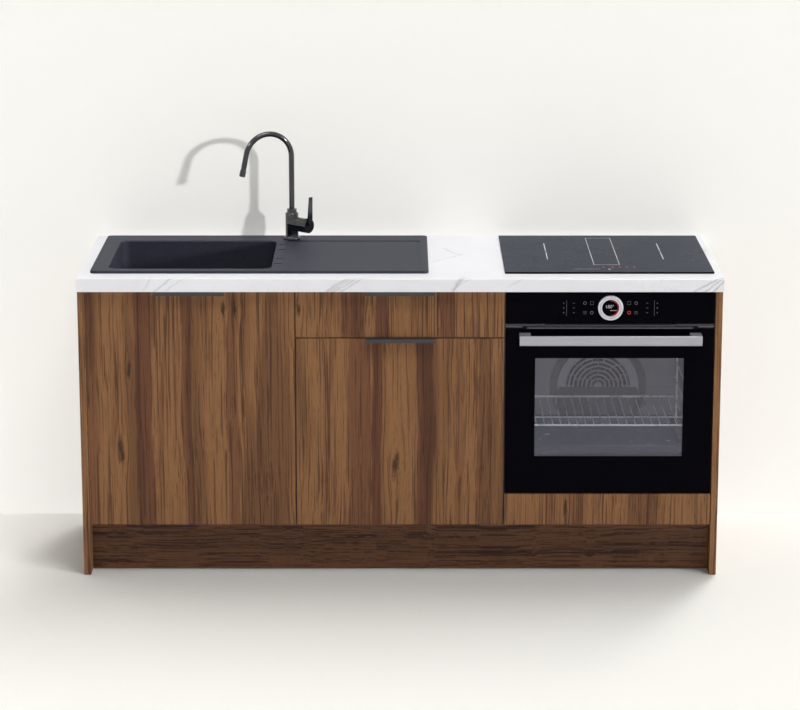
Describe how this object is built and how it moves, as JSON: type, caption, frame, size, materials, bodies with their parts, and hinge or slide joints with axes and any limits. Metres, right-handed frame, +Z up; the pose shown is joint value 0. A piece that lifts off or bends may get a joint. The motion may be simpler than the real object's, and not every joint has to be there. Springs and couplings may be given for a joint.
{
  "type": "kitchen base cabinet",
  "caption": "Fitted base cabinet run with worktop, inset sink and mixer tap, glass hob, built-in oven, hinged doors and a drawer on runners",
  "frame": {"origin": "on the floor, at the middle of the run's length and of its overall depth, handle included", "axes": "+X along the run to the right as seen from the front, +Y to the wall, +Z up"},
  "size_m": [1.84, 0.625, 1.2302],
  "materials": {
    "worktop": "satin marble pattern",
    "walnut": "satin",
    "dark_walnut": "satin",
    "white_board": "matte",
    "black_plastic": "matte",
    "white_plastic": "matte",
    "graphite_metal": "matte",
    "zinc_steel": "satin",
    "granite": "matte granite grain",
    "chrome": "polished",
    "black_metal": "satin",
    "hob_glass": "gloss",
    "black_glass": "gloss",
    "clear_glass": "gloss",
    "enamel": "gloss",
    "dark_enamel": "gloss",
    "aluminium": "satin",
    "seal_rubber": "matte"
  },
  "bodies": {
    "cabinet": {"worktop": "worktop", "end_panel_left": "walnut", "end_panel_right": "walnut", "plinth": "dark_walnut", "adjustable_legs": "black_plastic", "sink_unit_sides": "white_board", "sink_unit_bottom": "white_board", "drawer_unit_sides": "white_board", "drawer_unit_bottom": "white_board", "oven_unit_sides": "white_board", "oven_unit_bottom": "white_board", "carcass_rails": "white_board", "drawer_unit_back": "white_board", "drawer_unit_shelf": "white_board", "oven_shelf": "white_board", "oven_filler_front": "walnut", "hinge_arms": "zinc_steel", "drawer_runner_rails": "zinc_steel", "sink": "granite", "sink_drain": "chrome", "bottle_trap": "white_plastic", "tap_body": "black_metal", "tap_fixing_nut": "zinc_steel", "hob_glass": "hob_glass", "hob_casing": "zinc_steel", "oven_casing": "zinc_steel", "oven_cavity": "enamel", "oven_door_seal": "seal_rubber", "oven_fan_cover": "enamel", "oven_side_guides": "chrome", "oven_wire_rack": "chrome", "oven_tray": "dark_enamel", "oven_door_brackets": "zinc_steel", "oven_control_panel": "black_glass", "oven_display": "black_glass"},
    "sink_door_links": {"sink_unit_hinge_links": "zinc_steel"},
    "sink_door": {"sink_unit_door": "walnut", "sink_unit_door_pull": "graphite_metal", "sink_unit_hinge_cups": "zinc_steel"},
    "drawer_unit_links": {"drawer_unit_hinge_links": "zinc_steel"},
    "lower_door": {"drawer_unit_door": "walnut", "drawer_unit_door_pull": "graphite_metal", "drawer_unit_hinge_cups": "zinc_steel"},
    "drawer": {"drawer_front": "walnut", "drawer_pull": "graphite_metal", "drawer_box": "white_board", "drawer_runner_slides": "zinc_steel"},
    "runner_middles": {"drawer_runner_middles": "zinc_steel"},
    "spout": {"tap_spout": "black_metal", "tap_aerator": "black_metal"},
    "lever_hub": {"tap_lever_hub": "black_metal"},
    "lever": {"tap_lever": "black_metal"},
    "basket": {"strainer_basket": "chrome"},
    "fan_wheel": {"oven_fan": "zinc_steel"},
    "dial": {"oven_dial": "aluminium"},
    "oven_door": {"oven_door_glass": "black_glass", "oven_door_frame": "dark_enamel", "oven_door_inner_glass": "clear_glass", "oven_door_trim": "aluminium", "oven_door_handle": "aluminium"}
  },
  "joints": [
    {"name": "sink_door_link_turn", "type": "hinge", "parent": "cabinet", "child": "sink_door_links", "pos_m": [-0.874, -0.2315, 0.3], "axis": [0, 0, 1], "range_deg": [0, 36]},
    {"name": "sink_door_swing", "type": "hinge", "parent": "sink_door_links", "child": "sink_door", "pos_m": [-0.8905, -0.2545, 0.3], "axis": [0, 0, -1], "range_deg": [0, 126]},
    {"name": "lower_door_link_turn", "type": "hinge", "parent": "cabinet", "child": "drawer_unit_links", "pos_m": [-0.274, -0.2315, 0.3], "axis": [0, 0, 1], "range_deg": [0, 36]},
    {"name": "lower_door_swing", "type": "hinge", "parent": "drawer_unit_links", "child": "lower_door", "pos_m": [-0.2905, -0.2545, 0.3], "axis": [0, 0, -1], "range_deg": [0, 126]},
    {"name": "drawer_slide", "type": "slide", "parent": "cabinet", "child": "drawer", "axis": [0, -1, 0], "range_m": [0, 0.45]},
    {"name": "runner_slide", "type": "slide", "parent": "cabinet", "child": "runner_middles", "axis": [0, -1, 0], "range_m": [0, 0.225]},
    {"name": "spout_swivel", "type": "hinge", "parent": "cabinet", "child": "spout", "pos_m": [-0.326, 0.2225, 0.995], "axis": [0, 0, 1], "range_deg": [-40, 140]},
    {"name": "tap_temperature", "type": "hinge", "parent": "cabinet", "child": "lever_hub", "pos_m": [-0.2877, 0.19036, 0.945], "axis": [0.766, -0.6428, 0], "range_deg": [-35, 35]},
    {"name": "tap_flow", "type": "hinge", "parent": "lever_hub", "child": "lever", "pos_m": [-0.27468, 0.17943, 0.9484], "axis": [0.6428, 0.766, 0], "range_deg": [0, 20]},
    {"name": "strainer_lift", "type": "slide", "parent": "cabinet", "child": "basket", "axis": [0, 0, 1], "range_m": [0, 0.012]},
    {"name": "oven_fan_spin", "type": "hinge", "parent": "cabinet", "child": "fan_wheel", "pos_m": [0.6, 0.2, 0.456], "axis": [0, 1, 0], "continuous": true},
    {"name": "oven_dial_turn", "type": "hinge", "parent": "cabinet", "child": "dial", "pos_m": [0.6, -0.2715, 0.8], "axis": [0, 1, 0], "continuous": true},
    {"name": "oven_door_swing", "type": "hinge", "parent": "cabinet", "child": "oven_door", "pos_m": [0.6, -0.26, 0.258], "axis": [1, 0, 0], "range_deg": [0, 90]}
  ],
  "couplings": [
    {"joint": "sink_door_link_turn", "follows": "sink_door_swing", "ratio": 0.28571},
    {"joint": "lower_door_link_turn", "follows": "lower_door_swing", "ratio": 0.28571},
    {"joint": "runner_slide", "follows": "drawer_slide", "ratio": 0.5}
  ]
}
